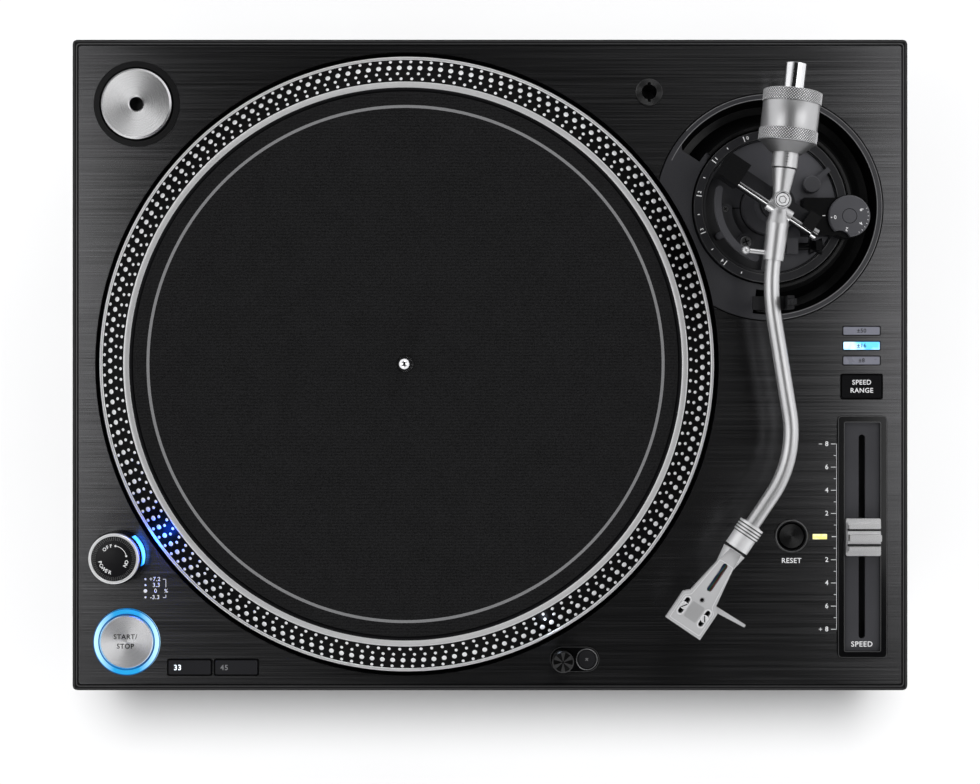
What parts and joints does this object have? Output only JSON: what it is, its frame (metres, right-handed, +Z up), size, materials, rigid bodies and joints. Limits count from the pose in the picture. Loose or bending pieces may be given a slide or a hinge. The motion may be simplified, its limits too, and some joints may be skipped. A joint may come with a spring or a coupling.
{
  "type": "direct drive turntable",
  "caption": "Low rectangular deck with a round platter, an S-shaped pivoted arm on a turned base, push buttons, a tempo slider and rubber feet.",
  "frame": {"origin": "on the floor under the middle of the body, between the four feet", "axes": "+Z up, +X to the right along the body's width, +Y to the back; the controls are at the front, towards -Y"},
  "size_m": [0.453, 0.353, 0.1577],
  "materials": {
    "arm_steel": "polished",
    "black_gloss": "satin",
    "black_plastic": "matte",
    "board_green": "matte",
    "bronze": "turned",
    "cast_black": "satin",
    "copper_core": "laminated with copper windings",
    "deck_metal": "brushed",
    "felt": "felt",
    "ferrite": "matte",
    "grey_metal": "turned",
    "jack_gold": "plated",
    "lamp_clear": "translucent",
    "lamp_cyan": "translucent and lit",
    "rubber": "matte",
    "screw_steel": "blackened",
    "shell_metal": "satin",
    "silver": "spun",
    "steel": "polished",
    "weight_steel": "turned"
  },
  "bodies": {
    "cabinet": {"rubber_base": "rubber", "base_tray": "black_plastic", "chassis_shell": "cast_black", "top_panel": "deck_metal", "base_screws": "screw_steel", "motor_stator": "copper_core", "bearing_housing": "bronze", "control_board": "board_green", "power_board": "board_green", "power_transformer": "copper_core", "signal_terminals": "jack_gold", "power_inlet": "black_plastic", "adapter_cup": "black_gloss", "accessory_socket": "grey_metal", "strobe_housing": "black_gloss", "strobe_lens": "lamp_cyan", "start_stop_ring": "lamp_cyan", "indicator_lamps": "lamp_clear", "slider_bezel": "black_gloss", "slider_plate": "deck_metal", "slider_pot": "screw_steel", "button_bezels": "black_gloss", "arm_dish": "black_gloss", "arm_rest": "black_plastic"},
    "platter": {"platter": "grey_metal", "rotor_magnet": "ferrite", "spindle": "steel"},
    "slipmat": {"slipmat": "felt"},
    "adapter_45": {"adapter_45": "silver"},
    "power_knob": {"power_knob": "silver"},
    "start_stop_button": {"start_stop_button": "silver"},
    "speed_button_33": {"speed_button_33": "black_gloss"},
    "speed_button_45": {"speed_button_45": "black_gloss"},
    "tempo_range_button": {"tempo_range_button": "black_gloss"},
    "reset_button": {"reset_button": "black_gloss"},
    "light_button": {"light_button": "black_gloss"},
    "stylus_lamp": {"stylus_lamp": "grey_metal"},
    "slider_cap": {"slider_cap": "silver"},
    "height_ring": {"height_ring": "black_gloss"},
    "arm_base": {"arm_base": "cast_black", "anti_skate_housing": "black_gloss"},
    "anti_skate_dial": {"anti_skate_dial": "black_gloss"},
    "lock_knob": {"lock_knob": "black_gloss"},
    "cue_lever": {"cue_lever": "black_plastic"},
    "lift_rail": {"lift_rail": "black_plastic"},
    "gimbal": {"gimbal_yoke": "cast_black", "pivot_pins": "steel"},
    "arm": {"arm_block": "arm_steel", "arm_tube": "arm_steel", "headshell": "shell_metal", "cartridge": "black_plastic"},
    "locking_collar": {"locking_collar": "silver"},
    "weight_sleeve": {"weight_sleeve": "grey_metal"},
    "counterweight": {"counterweight": "weight_steel"},
    "pressure_dial": {"pressure_dial": "black_gloss"},
    "rest_clip": {"rest_clip": "black_plastic"},
    "foot_front_left": {"foot_front_left": "rubber"},
    "foot_front_right": {"foot_front_right": "rubber"},
    "foot_rear_left": {"foot_rear_left": "rubber"},
    "foot_rear_right": {"foot_rear_right": "rubber"}
  },
  "joints": [
    {"name": "platter_spin", "type": "hinge", "parent": "cabinet", "child": "platter", "pos_m": [-0.045, 0.0005, 0.1], "axis": [0, 0, -1], "continuous": true},
    {"name": "slipmat_lift", "type": "slide", "parent": "platter", "child": "slipmat", "axis": [0, 0, 1], "range_m": [0, 0.03]},
    {"name": "adapter_lift", "type": "slide", "parent": "cabinet", "child": "adapter_45", "axis": [0, 0, 1], "range_m": [0, 0.015]},
    {"name": "power_turn", "type": "hinge", "parent": "cabinet", "child": "power_knob", "pos_m": [-0.2007, -0.1034, 0.112], "axis": [0, 0, 1], "range_deg": [0, 70]},
    {"name": "start_stop_press", "type": "slide", "parent": "cabinet", "child": "start_stop_button", "axis": [0, 0, -1], "range_m": [0, 0.0012], "stiffness_N_per_m": 400, "springref_m": -0.001},
    {"name": "speed_33_press", "type": "slide", "parent": "cabinet", "child": "speed_button_33", "axis": [0, 0, -1], "range_m": [0, 0.0012], "stiffness_N_per_m": 400, "springref_m": -0.001},
    {"name": "speed_45_press", "type": "slide", "parent": "cabinet", "child": "speed_button_45", "axis": [0, 0, -1], "range_m": [0, 0.0012], "stiffness_N_per_m": 400, "springref_m": -0.001},
    {"name": "tempo_range_press", "type": "slide", "parent": "cabinet", "child": "tempo_range_button", "axis": [0, 0, -1], "range_m": [0, 0.0012], "stiffness_N_per_m": 400, "springref_m": -0.001},
    {"name": "reset_press", "type": "slide", "parent": "cabinet", "child": "reset_button", "axis": [0, 0, -1], "range_m": [0, 0.0012], "stiffness_N_per_m": 400, "springref_m": -0.001},
    {"name": "light_press", "type": "slide", "parent": "cabinet", "child": "light_button", "axis": [0, 0, -1], "range_m": [0, 0.0012], "stiffness_N_per_m": 400, "springref_m": -0.001},
    {"name": "stylus_lamp_press", "type": "slide", "parent": "cabinet", "child": "stylus_lamp", "axis": [0, 0, -1], "range_m": [0, 0.0095], "stiffness_N_per_m": 40, "springref_m": -0.005},
    {"name": "tempo_slide", "type": "slide", "parent": "cabinet", "child": "slider_cap", "axis": [0, 1, 0], "range_m": [-0.05, 0.05]},
    {"name": "height_turn", "type": "hinge", "parent": "cabinet", "child": "height_ring", "pos_m": [0.1513, 0.0855, 0.095], "axis": [0, 0, 1], "range_deg": [0, 200]},
    {"name": "height_travel", "type": "slide", "parent": "cabinet", "child": "arm_base", "axis": [0, 0, 1], "range_m": [0, 0.006]},
    {"name": "skate_turn", "type": "hinge", "parent": "arm_base", "child": "anti_skate_dial", "pos_m": [0.1908, 0.0791, 0.119], "axis": [0, 0, 1], "range_deg": [0, 270]},
    {"name": "lock_turn", "type": "hinge", "parent": "arm_base", "child": "lock_knob", "pos_m": [0.1734, 0.0973, 0.104], "axis": [0, 0, 1], "range_deg": [0, 45]},
    {"name": "cue_turn", "type": "hinge", "parent": "arm_base", "child": "cue_lever", "pos_m": [0.17, 0.0634, 0.112], "axis": [1, 0, 0], "range_deg": [0, 60]},
    {"name": "rail_lift", "type": "slide", "parent": "arm_base", "child": "lift_rail", "axis": [0, 0, 1], "range_m": [0, 0.0055]},
    {"name": "arm_swing", "type": "hinge", "parent": "arm_base", "child": "gimbal", "pos_m": [0.1513, 0.0855, 0.12], "axis": [0, 0, -1], "range_deg": [0, 44]},
    {"name": "arm_lift", "type": "hinge", "parent": "gimbal", "child": "arm", "pos_m": [0.15072, 0.08053, 0.138], "axis": [-0.829, 0.5592, 0], "range_deg": [-0.6, 15]},
    {"name": "collar_turn", "type": "hinge", "parent": "arm", "child": "locking_collar", "pos_m": [0.13657, -0.08329, 0.138], "axis": [-0.5592, -0.829, 0], "range_deg": [0, 60]},
    {"name": "weight_travel", "type": "slide", "parent": "arm", "child": "weight_sleeve", "axis": [0.1167, 0.9932, 0], "range_m": [-0.00399, 0.00599]},
    {"name": "weight_turn", "type": "hinge", "parent": "weight_sleeve", "child": "counterweight", "pos_m": [0.1513, 0.0855, 0.138], "axis": [-0.1167, -0.9932, 0], "range_deg": [-720, 1080]},
    {"name": "pressure_turn", "type": "hinge", "parent": "counterweight", "child": "pressure_dial", "pos_m": [0.1513, 0.0855, 0.138], "axis": [-0.1167, -0.9932, 0], "range_deg": [-180, 180]},
    {"name": "clip_close", "type": "hinge", "parent": "cabinet", "child": "rest_clip", "pos_m": [0.15585, 0.0325, 0.1433], "axis": [0, -1, 0], "range_deg": [0, 90]},
    {"name": "front_left_foot_turn", "type": "hinge", "parent": "cabinet", "child": "foot_front_left", "pos_m": [-0.1815, -0.1315, 0.012], "axis": [0, 0, 1], "range_deg": [-360, 360]},
    {"name": "front_right_foot_turn", "type": "hinge", "parent": "cabinet", "child": "foot_front_right", "pos_m": [0.1815, -0.1315, 0.012], "axis": [0, 0, 1], "range_deg": [-360, 360]},
    {"name": "rear_left_foot_turn", "type": "hinge", "parent": "cabinet", "child": "foot_rear_left", "pos_m": [-0.1815, 0.1315, 0.012], "axis": [0, 0, 1], "range_deg": [-360, 360]},
    {"name": "rear_right_foot_turn", "type": "hinge", "parent": "cabinet", "child": "foot_rear_right", "pos_m": [0.1815, 0.1315, 0.012], "axis": [0, 0, 1], "range_deg": [-360, 360]}
  ],
  "couplings": [
    {"joint": "height_turn", "follows": "height_travel", "rad_per_m": 581.73},
    {"joint": "cue_turn", "follows": "rail_lift", "rad_per_m": 190.39},
    {"joint": "weight_turn", "follows": "weight_travel", "rad_per_m": 3144.7}
  ]
}
